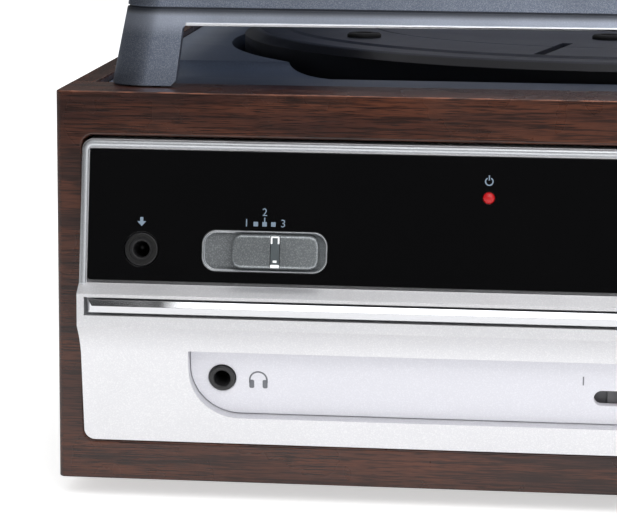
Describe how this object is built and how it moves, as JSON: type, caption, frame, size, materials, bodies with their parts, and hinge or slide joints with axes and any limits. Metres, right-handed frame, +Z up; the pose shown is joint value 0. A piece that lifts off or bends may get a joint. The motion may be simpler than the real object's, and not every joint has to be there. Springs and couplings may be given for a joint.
{
  "type": "stereo music centre",
  "caption": "Stereo music centre in a wooden cabinet: a record player with a tonearm under a hinged lid, a radio with a tuning scale and side speakers",
  "frame": {"origin": "centre of the underside of the box around the whole object, on the surface that its feet stand on", "axes": "+X to the right as seen from the front, +Y to the back, +Z up"},
  "size_m": [0.35, 0.3272, 0.1375],
  "materials": {
    "wood": "satin",
    "raw_wood": "matte",
    "soft_rubber": "matte",
    "plated_steel": "satin",
    "deck_plastic": "fine texture",
    "platter_plastic": "satin",
    "bearing_brass": "satin",
    "motor_steel": "satin",
    "silver_knob": "satin",
    "arm_black": "satin",
    "arm_tube": "satin",
    "cartridge_black": "gloss",
    "stylus_red": "gloss",
    "lid_plastic": "metallic fleck",
    "smoked_window": "smoked gloss",
    "panel_silver": "satin silver",
    "window_black": "high gloss",
    "chrome": "polished",
    "plate_white": "satin",
    "jack_black": "gloss",
    "lamp_red": "clear",
    "capacitor_cream": "matte",
    "pointer_red": "gloss",
    "scale_grey": "matte",
    "board_green": "satin",
    "speaker_black": "matte",
    "grille_black": "matte",
    "socket_metal": "satin"
  },
  "bodies": {
    "cabinet": {"front_frame": "wood", "left_side_board": "wood", "right_side_board": "wood", "bottom_board": "wood", "back_board": "wood", "glue_blocks": "raw_wood", "feet": "soft_rubber", "drive_belt": "soft_rubber", "screws": "plated_steel", "spindle": "plated_steel", "lid_hinge_pins": "plated_steel", "deck_plate": "deck_plastic", "spindle_bearing": "bearing_brass", "motor": "motor_steel", "transformer": "motor_steel", "volume_pot": "motor_steel", "slide_switches": "motor_steel", "switch_bezel": "silver_knob", "tonearm_base": "arm_black", "tonearm_rest": "arm_black", "lid_hinge_brackets": "arm_black", "front_panel": "panel_silver", "display_window": "window_black", "chrome_strip": "chrome", "control_plate": "plate_white", "aux_jack": "jack_black", "headphone_jack": "jack_black", "mains_inlet": "jack_black", "power_led": "lamp_red", "tuning_capacitor": "capacitor_cream", "scale_backing": "scale_grey", "front_board": "board_green", "main_board": "board_green", "speakers": "speaker_black", "speaker_grilles": "grille_black", "rear_plate": "grille_black", "output_sockets": "socket_metal"},
    "lid": {"lid_frame": "lid_plastic", "lid_window": "smoked_window", "lid_bumpers": "soft_rubber"},
    "platter": {"platter": "platter_plastic", "platter_pads": "soft_rubber"},
    "motor_rotor": {"motor_pulley": "bearing_brass"},
    "speed_selector": {"speed_selector": "silver_knob"},
    "autostop": {"autostop_switch": "silver_knob"},
    "arm_yoke": {"tonearm_yoke": "arm_black"},
    "arm": {"tonearm_tube": "arm_tube", "headshell": "arm_black", "cartridge": "cartridge_black", "stylus": "stylus_red", "counterweight": "motor_steel"},
    "arm_clip": {"arm_clip": "plated_steel"},
    "cue_lever": {"cue_lever": "silver_knob"},
    "arm_lifter": {"arm_lifter": "arm_black"},
    "function_knob": {"function_knob": "silver_knob"},
    "band_knob": {"band_knob": "silver_knob"},
    "power_button": {"power_button": "silver_knob"},
    "volume_knob": {"volume_knob": "chrome"},
    "tuning_knob": {"tuning_knob": "chrome"},
    "tuning_pointer": {"tuning_pointer": "pointer_red"}
  },
  "joints": [
    {"name": "lid_hinge", "type": "hinge", "parent": "cabinet", "child": "lid", "pos_m": [0, 0.1496, 0.0975], "axis": [-1, 0, 0], "range_deg": [0, 65]},
    {"name": "platter_spin", "type": "hinge", "parent": "cabinet", "child": "platter", "pos_m": [-0.0502, 0.0066, 0.096], "axis": [0, 0, -1], "continuous": true},
    {"name": "motor_spin", "type": "hinge", "parent": "cabinet", "child": "motor_rotor", "pos_m": [-0.1096, 0.066, 0.088], "axis": [0, 0, -1], "continuous": true},
    {"name": "speed_slide", "type": "slide", "parent": "cabinet", "child": "speed_selector", "axis": [0, 1, 0], "range_m": [0, 0.016]},
    {"name": "autostop_slide", "type": "slide", "parent": "cabinet", "child": "autostop", "axis": [0, 1, 0], "range_m": [0, 0.006]},
    {"name": "tonearm_swing", "type": "hinge", "parent": "cabinet", "child": "arm_yoke", "pos_m": [0.127, 0.0856, 0.1085], "axis": [0, 0, -1], "range_deg": [0, 48]},
    {"name": "tonearm_lift", "type": "hinge", "parent": "arm_yoke", "child": "arm", "pos_m": [0.127, 0.0856, 0.1085], "axis": [-0.9997, 0.0262, 0], "range_deg": [0, 4.5]},
    {"name": "arm_clip_turn", "type": "hinge", "parent": "cabinet", "child": "arm_clip", "pos_m": [0.13223, -0.03958, 0.1095], "axis": [-0.0262, -0.9997, 0], "range_deg": [0, 95]},
    {"name": "cue_lever_turn", "type": "hinge", "parent": "cabinet", "child": "cue_lever", "pos_m": [0.145, 0.0496, 0.0979], "axis": [-1, 0, 0], "range_deg": [0, 50]},
    {"name": "arm_lifter_slide", "type": "slide", "parent": "cabinet", "child": "arm_lifter", "axis": [0, 0, 1], "range_m": [0, 0.0033]},
    {"name": "function_slide", "type": "slide", "parent": "cabinet", "child": "function_knob", "axis": [-1, 0, 0], "range_m": [0, 0.004]},
    {"name": "band_slide", "type": "slide", "parent": "cabinet", "child": "band_knob", "axis": [1, 0, 0], "range_m": [0, 0.004]},
    {"name": "power_push", "type": "slide", "parent": "cabinet", "child": "power_button", "axis": [0, 0.9856, -0.1693], "range_m": [0, 0.0025], "stiffness_N_per_m": 300, "springref_m": -0.001},
    {"name": "volume_turn", "type": "hinge", "parent": "cabinet", "child": "volume_knob", "pos_m": [0.121, -0.15423, 0.0662], "axis": [0, 0.9856, -0.1693], "range_deg": [0, 300]},
    {"name": "tuning_turn", "type": "hinge", "parent": "cabinet", "child": "tuning_knob", "pos_m": [0.125, -0.15382, 0.02584], "axis": [0, 0.9849, 0.173], "range_deg": [0, 1080]},
    {"name": "tuning_pointer_slide", "type": "slide", "parent": "cabinet", "child": "tuning_pointer", "axis": [1, 0, 0], "range_m": [0, 0.1301]}
  ],
  "couplings": [
    {"joint": "motor_spin", "follows": "platter_spin", "ratio": 16.625},
    {"joint": "cue_lever_turn", "follows": "arm_lifter_slide", "rad_per_m": 264.4},
    {"joint": "tuning_pointer_slide", "follows": "tuning_turn", "m_per_rad": 0.0068967}
  ]
}
